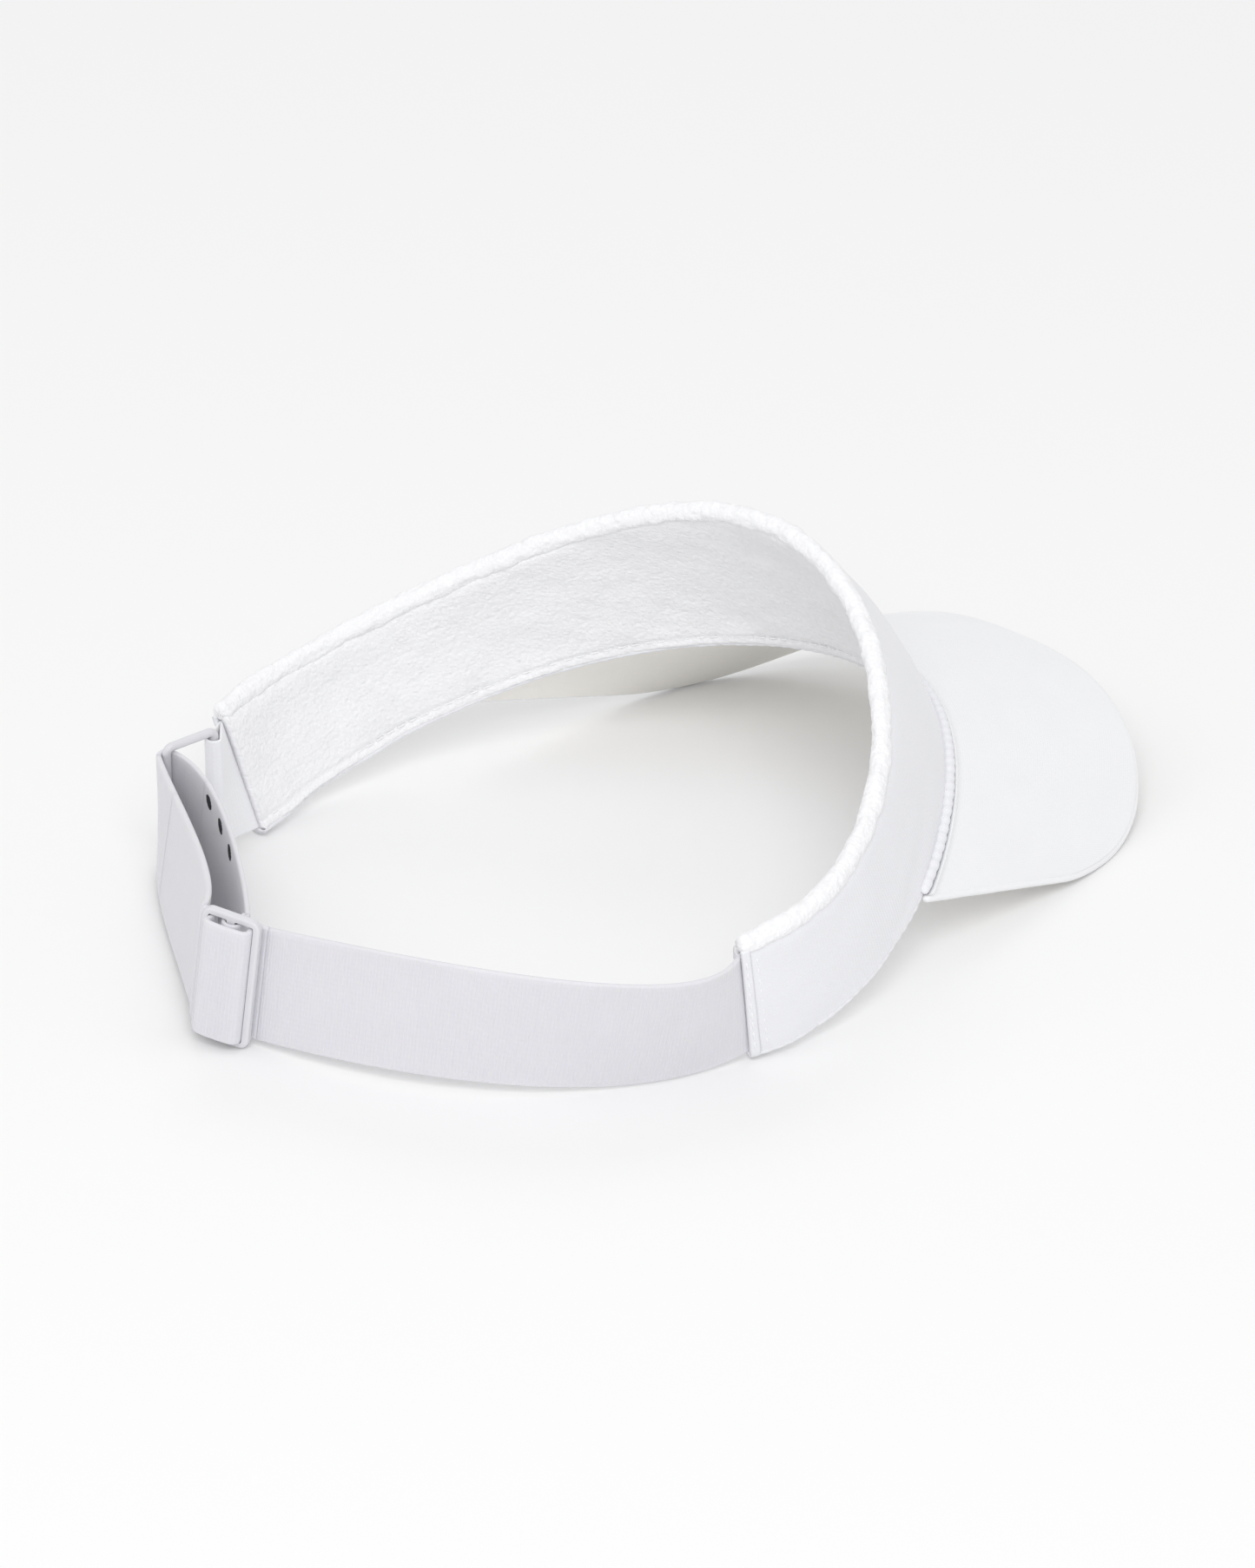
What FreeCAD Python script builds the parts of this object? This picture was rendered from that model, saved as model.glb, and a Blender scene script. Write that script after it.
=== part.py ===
import FreeCAD, Part
import math
import os

from FreeCAD import Placement, Rotation, Vector

# Adjustable tennis sun visor: a padded crown band open at the top, a curved brim in front,
# and an elastic strap behind that runs through a three-bar slider and a two-bar ring.
#
# Millimetres. The visor stands on its rim and strap on a table at z = 0, with the brim towards -Y
# and the wearer's left towards +X. The origin is the bottom centre of the whole visor's box.

# ---------------------------------------------------------------- driving dimensions

# From the working frame, which is centred on the head, to the origin of the part.
FRAME_SHIFT = Vector(0.0, 24.9, 0.0)

# Crown band. Two lines carry it, each swept both ways from the centre front:
# the foot, where the brim is sewn on, and the head, the middle of the soft roll on top.
FOOT_SWEEP = 104.5
FOOT_HALF_WIDTH = 77.5
FOOT_FLARE = 0.117
FOOT_DEPTH = (0.0, -100.5, 0.5, -3.5)
FOOT_HEIGHT = (12.0, 17.7, 6.1, -1.0, -1.3)
HEAD_SWEEP = 102.8
HEAD_HALF_WIDTH = 87.6
HEAD_FLARE = 0.034
HEAD_DEPTH = (13.5, -80.8, -0.45, -0.85)
HEAD_HEIGHT = (45.3, 25.6, 7.7, 3.2, -0.3)
PANEL_SWELL = 2.4

# Layers of the band, as distances outward from the middle of its wall.
SHELL = (1.32, 2.00)
POCKET = (-0.14, 1.26)
TERRY = (-2.10, -0.36)
LAYER_LOW = 1.70
LAYER_TOP_GAP = 2.55
BINDING_HALF = 2.10
BINDING_HEIGHT = 1.60
ROLL_RADIUS = 2.40
HEM_FOLD = 0.35
INTERLINING_END = 0.925

# The end hems, as shares of half the band's length.
END_HEM = 0.0145
HEM_CLEARANCE = 0.0006

# Brim.
BRIM_SWEEP = 64.0
BRIM_GAP = 2.35
RIM_HALF_WIDTH = 76.9
RIM_BACK = -41.5
RIM_LENGTH = 116.3
RIM_X_POWER = 0.759
RIM_Y_POWER = 0.561
RIM_HEIGHT = (46.2, -56.6, 32.8)
RIM_SIDE_ANGLE = 75.0
RIM_SPACING = 1.55
RIM_RADIUS = 1.25
PLY = 0.50
BRIM_CORE = 1.50
PLY_GAP = 0.04
PLY_BACK_GAP = 0.25
ROLL_GAP = 0.10
PLY_SPREAD = 0.965
WELT_RADIUS = 0.80
WELT_CLIMB = 3.2
WELT_GAP = 0.15

# Elastic strap.
STRAP_WIDTH = 31.0
STRAP_THICKNESS = 1.30
FOLD_UNDER = -2.35
FOLD_LINE = (
    (-7.0, FOLD_UNDER), (-6.2, -2.33), (-5.35, -1.9), (-5.0, -0.5), (-5.1, 1.1), (-5.2, 2.0), (-4.55, 3.0),
    (-2.7, 3.4), (0.0, 3.45), (2.9, 3.4),
    (4.9, 3.0), (5.6, 2.1), (5.25, 1.1), (5.0, -0.5), (5.35, -1.9), (6.2, -2.33), (7.0, FOLD_UNDER),
)
LAYER_SPLIT = 0.72
LAYER_GAP = 0.003

# Where each layer leaves the ring's rear bar, at its lower and its upper edge, in degrees round
# the bar: -90 is outside it, 0 in the ring's window and 90 inside it. Each layer stops a body gap
# further on.
OUTER_LEAVES = (-123.0, -156.0)
INNER_LEAVES = (-24.0, -27.0)
BAR_CLEARANCE = 0.20
BODY_GAP = 0.40

# How far the strap and the ring's tab reach into the band, as a share of half its length.
POCKET_REACH = 0.055
POCKET_CLIMB = 1.9

# Where the strap lies at each side of the slider, beyond the slider's side bars, and outward.
NEAR_END = -1.1
FOLD_END = 0.45
OUTER_START = 1.3
INNER_START = (-1.2, -5.4)

# Printed dashes on the strap: half width and slant as shares of the layer's length, heights in mm.
MARK_PLACES = (0.40, 0.53, 0.66)
MARK_WIDTH = 0.024
MARK_SLANT = 0.014
MARK_CLIMB = 26.4
MARK_HEIGHT = 2.6
MARK_LIFT = 0.12
MARK_INK = 0.15

# Three-bar slider, near the middle of the back.
SLIDER_CENTRE = Vector(7.0, 103.8, 18.4)
SLIDER_TURN = (20.0, 8.0, -2.0)
SLIDER_WIDTH = 15.0
SLIDER_HEIGHT = 34.8
SLIDER_THICKNESS = 2.2
SLIDER_SIDE_BAR = 1.6
SLIDER_MID_BAR = 2.0
SLIDER_END_BAR = 1.5
SLIDER_CORNER = 2.4
SLIDER_EDGE = 0.6
WINDOW_CORNER = 0.5
END_LOOP_TAPE = 1.0
END_LOOP_GAP = 0.1
END_TAIL_GAP = 0.9
END_NECK = 2.0

# Two-bar ring, behind the wearer's left ear.
RING_CENTRE = Vector(83.2, 44.9, 18.6)
RING_TURN = (79.0, -5.7, -8.5)
RING_BAR_X = 6.65
RING_BAR_RADIUS = 1.1
RING_CORNER = 1.6
TAB_TAPE = 0.65
TAB_CLEARANCE = 0.60
TAB_TURN = 110.0
TAB_PLY_GAP = 0.02

THREAD_RADIUS = 0.22
THREAD_LIFT = 0.08
STITCH_PITCH = 3.2
STITCH_LENGTH = 2.3
HEM_ROW_HEIGHT = 4.1
END_ROWS = ((0.006, SHELL[1] + HEM_FOLD), (0.026, SHELL[1]))

# ---------------------------------------------------------------- shared helpers


def harmonics(terms, angle):
    return sum(term * math.cos(order * angle) for order, term in enumerate(terms))


def spread(low, high, count):
    return [low + (high - low) * k / (count - 1) for k in range(count)]


def curve(points):
    spline = Part.BSplineCurve()
    spline.interpolate(points)
    return spline.toShape()


def line(a, b):
    return Part.LineSegment(a, b).toShape()


def bezier(points, t):
    a, b, c, d = points
    r = 1.0 - t
    return a * r**3 + b * (3 * r * r * t) + c * (3 * r * t * t) + d * t**3


def loft(sections, ruled=False):
    solid = Part.makeLoft(sections, True, ruled)
    if solid.Volume < 0:
        solid.reverse()
    return solid


def tube(points, radius):
    """Round roll along a smooth row of points."""
    rings = []
    for k, point in enumerate(points):
        ahead = points[min(k + 1, len(points) - 1)] - points[max(k - 1, 0)]
        rings.append(Part.Wire(Part.Circle(point, ahead, radius).toShape()))
    return loft(rings)


def ribbon(rungs, thickness, ruled=False):
    """Flat webbing through rungs, each the middle of the tape from its lower to its upper edge."""
    sections = []
    last = len(rungs) - 1
    for k, (low, high) in enumerate(rungs):
        before, after = rungs[max(k - 1, 0)], rungs[min(k + 1, last)]
        ahead = (after[0] + after[1]) - (before[0] + before[1])
        side = ahead.cross(high - low)
        side.normalize()
        half = side * (thickness / 2)
        corners = [low - half, low + half, high + half, high - half, low - half]
        sections.append(Part.makePolygon(corners))
    return loft(sections, ruled)


def thread(points):
    """A row of stitches: short lengths of thread laid along a line of points."""
    stitches = []
    for a, b in points:
        stitches.append(Part.makeCylinder(THREAD_RADIUS, (b - a).Length, a, b - a))
    return Part.makeCompound(stitches)


def turned(centre, turn):
    """Placement of a buckle: local X along the strap, Y outward, Z up."""
    yaw, skew, lean = turn
    rotation = Rotation(Vector(0, 0, 1), yaw)
    rotation = rotation * Rotation(Vector(1, 0, 0), lean) * Rotation(Vector(0, 1, 0), -skew)
    return Placement(centre, rotation)


# ---------------------------------------------------------------- crown band


def crown_foot(u):
    angle = math.radians(FOOT_SWEEP * u)
    s = math.sin(angle)
    x = FOOT_HALF_WIDTH * s * (1 + FOOT_FLARE * s * s)
    return Vector(x, harmonics(FOOT_DEPTH, angle), harmonics(FOOT_HEIGHT, angle))


def crown_head(u):
    angle = math.radians(HEAD_SWEEP * u)
    s = math.sin(angle)
    x = HEAD_HALF_WIDTH * s * (1 + HEAD_FLARE * s**4)
    return Vector(x, harmonics(HEAD_DEPTH, angle), harmonics(HEAD_HEIGHT, angle))


def panel_frame(u):
    """Foot point, direction up the wall, wall height and outward normal at u, from -1 to 1."""
    step = 0.002
    foot = crown_foot(u)
    rise = crown_head(u) - foot
    height = rise.Length
    rise.normalize()
    ahead = (crown_foot(u + step) + crown_head(u + step)) - (crown_foot(u - step) + crown_head(u - step))
    out = ahead.cross(rise)
    out.normalize()
    return foot, rise, height, out


def panel_point(u, climb, depth):
    foot, rise, height, out = panel_frame(u)
    v = climb / height
    swell = PANEL_SWELL * 4 * v * (1 - v) * math.cos(math.pi / 2 * u) ** 2
    return foot + rise * climb + out * (depth + swell)


def panel_section(u, inner, outer, low, top_gap):
    height = panel_frame(u)[2]
    climbs = spread(low, height - top_gap, 5)
    face = [panel_point(u, climb, outer) for climb in climbs]
    back = [panel_point(u, climb, inner) for climb in reversed(climbs)]
    edges = [curve(face), line(face[-1], back[0]), curve(back), line(back[-1], face[0])]
    return Part.Wire(edges)


def band_layer(depths, u_from, u_to, low=LAYER_LOW, top_gap=LAYER_TOP_GAP, stations=33):
    sections = [panel_section(u, *depths, low, top_gap) for u in spread(u_from, u_to, stations)]
    return loft(sections)


def crown_shell():
    return band_layer(SHELL, -1 + END_HEM, 1 - END_HEM)


def crown_interlining():
    return band_layer(POCKET, -INTERLINING_END, INTERLINING_END)


def sweatband_terry():
    return band_layer(TERRY, -1.0, 1.0)


def end_hem(side):
    inner = side * (1 - END_HEM + HEM_CLEARANCE)
    depths = (SHELL[0], SHELL[1] + HEM_FOLD)
    return band_layer(depths, min(inner, side), max(inner, side), stations=3)


def bottom_binding():
    """Narrow tape that closes the lower edge of the band, rounded underneath."""
    sections = []
    shoulder = BINDING_HEIGHT * 0.55
    for u in spread(-1.0, 1.0, 33):
        outer = panel_point(u, shoulder, BINDING_HALF)
        under = panel_point(u, 0.0, 0.0)
        inner = panel_point(u, shoulder, -BINDING_HALF)
        outer_top = panel_point(u, BINDING_HEIGHT, BINDING_HALF)
        inner_top = panel_point(u, BINDING_HEIGHT, -BINDING_HALF)
        edges = [
            Part.Arc(outer, under, inner).toShape(),
            line(inner, inner_top),
            line(inner_top, outer_top),
            line(outer_top, outer),
        ]
        sections.append(Part.Wire(edges))
    return loft(sections)


def top_roll():
    return tube([crown_head(u) for u in spread(-1.0, 1.0, 41)], ROLL_RADIUS)


def hem_stitches():
    """Lockstitch row inside the band, just above its lower edge."""
    depth = TERRY[0] - THREAD_RADIUS - THREAD_LIFT
    foot = [crown_foot(u) for u in spread(-1.0, 1.0, 81)]
    length = sum((after - before).Length for before, after in zip(foot, foot[1:]))
    count = int(length / STITCH_PITCH)
    stitch = 2 * STITCH_LENGTH / STITCH_PITCH / count
    rows = []
    for k in range(1, count - 1):
        u = -1 + 2 * k / count
        start = panel_point(u, HEM_ROW_HEIGHT, depth)
        rows.append((start, panel_point(u + stitch, HEM_ROW_HEIGHT, depth)))
    return thread(rows)


def end_stitches(side):
    """Two upright stitch rows that hold the strap inside the end of the band."""
    rows = []
    for inset, cloth in END_ROWS:
        u = side * (1 - inset)
        depth = cloth + THREAD_RADIUS + THREAD_LIFT
        top = panel_frame(u)[2] - LAYER_TOP_GAP
        climb = LAYER_LOW + STITCH_PITCH / 2
        while climb + STITCH_LENGTH < top:
            rows.append((panel_point(u, climb, depth), panel_point(u, climb + STITCH_LENGTH, depth)))
            climb += STITCH_PITCH
    return thread(rows)


# ---------------------------------------------------------------- brim


def rim(angle):
    """Outer line of the brim, at an angle in degrees each way from the tip."""
    a = math.radians(angle)
    x = math.copysign(RIM_HALF_WIDTH * abs(math.sin(a)) ** RIM_X_POWER, angle)
    y = RIM_BACK - RIM_LENGTH * max(math.cos(a), 0.0) ** RIM_Y_POWER
    return Vector(x, y, harmonics(RIM_HEIGHT, a))


def seam(s):
    foot, _, _, out = panel_frame(BRIM_SWEEP / FOOT_SWEEP * s)
    return foot + out * BRIM_GAP


def brim_base(s, w):
    """The brim is straight from the seam, w = 0, to the rim, w = 1, at any s from -1 to 1."""
    start = seam(s)
    end = rim(RIM_SIDE_ANGLE * math.copysign(abs(s) ** RIM_SPACING, s))
    return start + (end - start) * w


def brim_up(s):
    """Upward normal of the brim, halfway out from the seam."""
    step = 0.004
    along = brim_base(s + step, 0.5) - brim_base(s - step, 0.5)
    up = (brim_base(s, 1.0) - brim_base(s, 0.0)).cross(along)
    up.normalize()
    return up


def brim_ply(low, high):
    """One layer of the brim, between two heights above its middle surface."""
    sections = []
    for s in spread(-PLY_SPREAD, PLY_SPREAD, 41):
        run = brim_base(s, 1.0) - brim_base(s, 0.0)
        length = run.Length
        edge = brim_base(s + 0.01, 1.0) - brim_base(s - 0.01, 1.0)
        slant = run.cross(edge).Length / (length * edge.Length)
        back = PLY_BACK_GAP / length
        front = 1.0 - (RIM_RADIUS + ROLL_GAP) / (length * slant)
        corners = [(back, low), (front, low), (front, high), (back, high), (back, low)]
        up = brim_up(s)
        sections.append(Part.makePolygon([brim_base(s, w) + up * lift for w, lift in corners]))
    return loft(sections)


def brim_core():
    half = BRIM_CORE / 2
    return brim_ply(-half, half)


def brim_top_fabric():
    low = BRIM_CORE / 2 + PLY_GAP
    return brim_ply(low, low + PLY)


def brim_under_fabric():
    high = -BRIM_CORE / 2 - PLY_GAP
    return brim_ply(high - PLY, high)


def brim_rim_roll():
    """Turned edge of the brim's cover, round the rim and back along both sides to the crown."""
    side = [brim_base(-1.0, w) for w in spread(0.09, 0.9, 9)]
    front = [brim_base(s, 1.0) for s in spread(-1.0, 1.0, 41)]
    other = [brim_base(1.0, w) for w in reversed(spread(0.09, 0.9, 9))]
    roll = tube(side + front + other, RIM_RADIUS)
    table = Part.makePlane(400, 400, Vector(-200, -250, 0)).extrude(Vector(0, 0, -20))
    return roll.cut(table)


def brim_seam_welt():
    """Narrow piped seam where the brim is sewn to the crown."""
    points = []
    for s in spread(-0.95, 0.95, 31):
        u = BRIM_SWEEP / FOOT_SWEEP * s
        points.append(panel_point(u, WELT_CLIMB, SHELL[1] + WELT_RADIUS + WELT_GAP))
    return tube(points, WELT_RADIUS)


# ---------------------------------------------------------------- strap, slider and ring

SLIDER = turned(SLIDER_CENTRE, SLIDER_TURN)
RING = turned(RING_CENTRE, RING_TURN)
HALF_STRAP = STRAP_WIDTH / 2
RING_BAR_Z = HALF_STRAP + RING_CORNER
LOOP_RADIUS = RING_BAR_RADIUS + BAR_CLEARANCE + STRAP_THICKNESS / 2


def rung(place, x, y):
    """Middle of the tape across a buckle, at local x along the strap and y outward."""
    low = place.multVec(Vector(x, y, -HALF_STRAP))
    high = place.multVec(Vector(x, y, HALF_STRAP))
    return low, high


def between(low_line, high_line, t_from, t_to, count):
    """Rungs of a length of strap whose two edges each follow a Bezier line."""
    rungs = []
    for t in spread(t_from, t_to, count):
        rungs.append((bezier(low_line, t), bezier(high_line, t)))
    return rungs


def pocket_rung(u):
    """Where the tape sits between the shell and the lining, at an end of the band."""
    depth = (TERRY[1] + SHELL[0]) / 2
    return panel_point(u, POCKET_CLIMB, depth), panel_point(u, POCKET_CLIMB + STRAP_WIDTH, depth)


def near_lines():
    """Edges of the strap from the right end of the band to the slider."""
    start = pocket_rung(-1.0)
    finish = rung(SLIDER, -SLIDER_WIDTH / 2 + NEAR_END, FOLD_UNDER)
    low = [start[0], Vector(-79.0, 46.0, -4.0), Vector(-64.0, 91.0, 8.0), finish[0]]
    high = [start[1], Vector(-98.0, 48.0, 26.0), Vector(-65.0, 92.0, 41.0), finish[1]]
    return low, high


def strap_near_run():
    hidden = [pocket_rung(u) for u in spread(-1 + POCKET_REACH, -1.0, 4)]
    low, high = near_lines()
    return ribbon(hidden[:-1] + between(low, high, 0.0, 1.0, 29), STRAP_THICKNESS, ruled=True)


def strap_slider_fold():
    """The strap weaves under, over and under the slider's bars."""
    reach = SLIDER_WIDTH / 2 + FOLD_END
    line_through = [(-reach, FOLD_UNDER), *FOLD_LINE, (reach, FOLD_UNDER)]
    smooth = curve([Vector(x, y, 0) for x, y in line_through])
    rungs = [rung(SLIDER, point.x, point.y) for point in smooth.discretize(65)]
    return ribbon(rungs, STRAP_THICKNESS, ruled=True)


def strap_end_loop():
    """Sewn end of the strap, wrapped round the slider's middle bar."""
    bottom = Vector(0, 0, -HALF_STRAP)
    inner = math.hypot(SLIDER_MID_BAR, SLIDER_THICKNESS) / 2 + END_LOOP_GAP
    loop = Part.makeCylinder(inner + END_LOOP_TAPE, STRAP_WIDTH, bottom)
    end = bottom + Vector(INNER_START[0] - END_NECK / 2, INNER_START[1] + END_TAIL_GAP, 0)
    neck = Part.makeBox(END_NECK, -end.y - inner, STRAP_WIDTH, end)
    hole = Part.makeCylinder(inner, STRAP_WIDTH, bottom)
    solid = loop.fuse(neck).cut(hole).removeSplitter()
    solid.Placement = SLIDER
    return solid


def rounded_frame(width, height, thickness, corner):
    """Rounded plate in the local X-Z plane."""
    plate = Part.makeBox(width, thickness, height, Vector(-width / 2, -thickness / 2, -height / 2))
    upright = [e for e in plate.Edges if abs(e.tangentAt(e.FirstParameter).y) > 0.9]
    return plate.makeFillet(corner, upright)


def slider_frame():
    plate = rounded_frame(SLIDER_WIDTH, SLIDER_HEIGHT, SLIDER_THICKNESS, SLIDER_CORNER)
    rims = [e for e in plate.Edges if abs(abs(e.CenterOfMass.y) - SLIDER_THICKNESS / 2) < 1e-6]
    plate = plate.makeFillet(SLIDER_EDGE, rims)
    window_width = (SLIDER_WIDTH - SLIDER_MID_BAR) / 2 - SLIDER_SIDE_BAR
    window_height = SLIDER_HEIGHT - 2 * SLIDER_END_BAR
    for side in (-1, 1):
        window = rounded_frame(window_width, window_height, 3 * SLIDER_THICKNESS, WINDOW_CORNER)
        window.translate(Vector(side * (SLIDER_MID_BAR + window_width) / 2, 0, 0))
        plate = plate.cut(window)
    plate.Placement = SLIDER
    return plate


def ring_frame():
    """Rectangular loop of round section: two uprights, two ends and four rounded corners."""
    x, z, r = RING_BAR_X, RING_BAR_Z, RING_CORNER
    slope = r * (1 - math.sqrt(0.5))
    edges = []
    for sx, sz in ((1, 1), (-1, 1), (-1, -1), (1, -1)):
        upright = Vector(sx * x, 0, sz * (z - r))
        middle = Vector(sx * (x - slope), 0, sz * (z - slope))
        level = Vector(sx * (x - r), 0, sz * z)
        if sx == sz:
            edges.append(Part.Arc(upright, middle, level).toShape())
            edges.append(line(level, Vector(-level.x, 0, level.z)))
        else:
            edges.append(Part.Arc(level, middle, upright).toShape())
            edges.append(line(upright, Vector(upright.x, 0, -upright.z)))
    path = Part.Wire(edges)
    start = Vector(x, 0, z - r)
    section = Part.Wire(Part.Circle(start, Vector(0, 0, 1), RING_BAR_RADIUS).toShape())
    frame = path.makePipeShell([section], True, True)
    if frame.Volume < 0:
        frame.reverse()
    frame.Placement = RING
    return frame


def ring_tab():
    """Short tape folded round the ring's front bar and sewn into the left end of the band."""
    radius = RING_BAR_RADIUS + TAB_CLEARANCE + TAB_TAPE / 2
    apart = TAB_TAPE / 2 + TAB_PLY_GAP
    outside, inside = [], []
    for u in spread(1.0 - POCKET_REACH, 1.0, 3):
        low, high = pocket_rung(u)
        out = panel_frame(u)[3] * apart
        outside.append((low + out, high + out))
        inside.append((low - out, high - out))
    turn = []
    for degrees in spread(-TAB_TURN, TAB_TURN, 13):
        a = math.radians(degrees)
        turn.append(rung(RING, radius * math.cos(a) - RING_BAR_X, radius * math.sin(a)))
    return ribbon(outside + turn + inside[::-1], TAB_TAPE, ruled=True)


def round_rear_bar(leaves, share, past=0.0):
    """Tape on the ring's rear bar: share of the way from the window's middle to where it leaves."""
    points = []
    for degrees, z in zip(leaves, (-HALF_STRAP, HALF_STRAP)):
        a = math.radians(degrees * share) + past / LOOP_RADIUS
        local = Vector(RING_BAR_X - LOOP_RADIUS * math.cos(a), LOOP_RADIUS * math.sin(a), z)
        points.append(RING.multVec(local))
    return tuple(points)


def strap_ring_loop():
    """Turn of the strap round the ring's rear bar."""
    turn = [round_rear_bar(OUTER_LEAVES, share) for share in spread(1.0, 0.3, 8)]
    turn.append(round_rear_bar(INNER_LEAVES, 1.0))
    return ribbon(turn, STRAP_THICKNESS)


def outer_lines():
    """Edges of the outer layer, from the slider to the ring's rear bar."""
    start = rung(SLIDER, SLIDER_WIDTH / 2 + OUTER_START, FOLD_UNDER)
    finish = round_rear_bar(OUTER_LEAVES, 1.0, -BODY_GAP)
    low = [start[0], Vector(21.0, 99.0, 1.6), Vector(80.5, 64.0, 1.6), finish[0]]
    high = [start[1], Vector(20.0, 91.0, 34.5), Vector(69.0, 65.0, 33.0), finish[1]]
    return low, high


def inner_lines():
    """Edges of the inner layer, from the slider's middle bar to the ring's rear bar."""
    start = rung(SLIDER, *INNER_START)
    finish = round_rear_bar(INNER_LEAVES, 1.0, BODY_GAP)
    low = [start[0], Vector(25.5, 86.5, 1.9), Vector(69.0, 54.5, 1.9), finish[0]]
    high = [start[1], Vector(22.0, 83.5, 33.5), Vector(66.0, 50.5, 34.5), finish[1]]
    return low, high


def strap_layer(lines, t_from, t_to):
    return ribbon(between(*lines, t_from, t_to, 13), STRAP_THICKNESS)


def size_mark(t):
    """One short slanted dash, printed on the outer side of the inner layer."""
    low_line, high_line = inner_lines()

    def on_tape(shift, height):
        low, high = bezier(low_line, t + shift), bezier(high_line, t + shift)
        return low + (high - low) * (height / STRAP_WIDTH)

    foot = [on_tape(-MARK_WIDTH, MARK_CLIMB), on_tape(MARK_WIDTH, MARK_CLIMB)]
    top = MARK_CLIMB + MARK_HEIGHT
    head = [on_tape(MARK_SLANT + MARK_WIDTH, top), on_tape(MARK_SLANT - MARK_WIDTH, top)]
    out = (head[0] - foot[0]).cross(foot[1] - foot[0])
    out.normalize()
    lift = out * (STRAP_THICKNESS / 2 + MARK_LIFT)
    first = Part.Face(Part.makePolygon([foot[0], foot[1], head[0], foot[0]]))
    second = Part.Face(Part.makePolygon([foot[0], head[0], head[1], foot[0]]))
    dash = first.extrude(out * MARK_INK).fuse(second.extrude(out * MARK_INK))
    dash.translate(lift)
    return dash.removeSplitter()


# ---------------------------------------------------------------- write every node

NODES = {
    "crown_shell": crown_shell,
    "crown_interlining": crown_interlining,
    "sweatband_terry": sweatband_terry,
    "top_roll": top_roll,
    "bottom_binding": bottom_binding,
    "end_hem_right": lambda: end_hem(-1),
    "end_hem_left": lambda: end_hem(1),
    "hem_stitches": hem_stitches,
    "end_stitches_right": lambda: end_stitches(-1),
    "end_stitches_left": lambda: end_stitches(1),
    "brim_core": brim_core,
    "brim_top_fabric": brim_top_fabric,
    "brim_under_fabric": brim_under_fabric,
    "brim_rim_roll": brim_rim_roll,
    "brim_seam_welt": brim_seam_welt,
    "strap_near_run": strap_near_run,
    "strap_slider_fold": strap_slider_fold,
    "strap_end_loop": strap_end_loop,
    "strap_outer_rear": lambda: strap_layer(outer_lines(), 0.0, LAYER_SPLIT),
    "strap_outer_side": lambda: strap_layer(outer_lines(), LAYER_SPLIT + LAYER_GAP, 1.0),
    "strap_inner_rear": lambda: strap_layer(inner_lines(), 0.0, LAYER_SPLIT),
    "strap_inner_side": lambda: strap_layer(inner_lines(), LAYER_SPLIT + LAYER_GAP, 1.0),
    "strap_ring_loop": strap_ring_loop,
    "size_mark_1": lambda: size_mark(MARK_PLACES[0]),
    "size_mark_2": lambda: size_mark(MARK_PLACES[1]),
    "size_mark_3": lambda: size_mark(MARK_PLACES[2]),
    "slider_frame": slider_frame,
    "ring_frame": ring_frame,
    "ring_tab": ring_tab,
}

os.makedirs("parts", exist_ok=True)
for name, make in NODES.items():
    shape = make()
    shape.translate(FRAME_SHIFT)
    shape.exportStep("parts/" + name + ".step")
    box = shape.BoundBox
    print(
        f"{name:22s} valid {shape.isValid()} solids {len(shape.Solids)} volume {shape.Volume:9.1f}"
        f"  x {box.XMin:7.1f} {box.XMax:7.1f}  y {box.YMin:7.1f} {box.YMax:7.1f}"
        f"  z {box.ZMin:6.2f} {box.ZMax:6.2f}"
    )
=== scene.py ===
import math

import bpy
import numpy as np
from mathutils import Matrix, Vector


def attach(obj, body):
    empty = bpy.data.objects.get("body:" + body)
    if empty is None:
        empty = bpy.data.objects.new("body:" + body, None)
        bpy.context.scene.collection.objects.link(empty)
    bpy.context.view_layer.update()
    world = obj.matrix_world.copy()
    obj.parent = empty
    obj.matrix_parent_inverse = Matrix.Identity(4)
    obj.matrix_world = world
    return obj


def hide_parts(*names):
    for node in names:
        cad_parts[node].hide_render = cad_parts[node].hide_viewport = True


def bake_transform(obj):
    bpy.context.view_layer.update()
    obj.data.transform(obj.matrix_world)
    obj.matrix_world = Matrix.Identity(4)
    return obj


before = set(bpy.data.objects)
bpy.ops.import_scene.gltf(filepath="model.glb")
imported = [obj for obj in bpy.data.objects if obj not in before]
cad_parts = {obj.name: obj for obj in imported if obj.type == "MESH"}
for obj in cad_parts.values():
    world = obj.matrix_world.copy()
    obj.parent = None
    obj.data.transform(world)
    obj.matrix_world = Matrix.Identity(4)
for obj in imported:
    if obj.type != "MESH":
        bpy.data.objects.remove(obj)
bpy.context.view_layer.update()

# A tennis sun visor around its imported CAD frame. Shapes are worked out in millimetres in the visor's
# own frame, with the same driving dimensions as the CAD part, and written to meshes in metres.

MM = 0.001

# ---------------------------------------------------------------- driving dimensions, in mm

FRAME_SHIFT = np.array([0.0, 24.9, 0.0])

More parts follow.
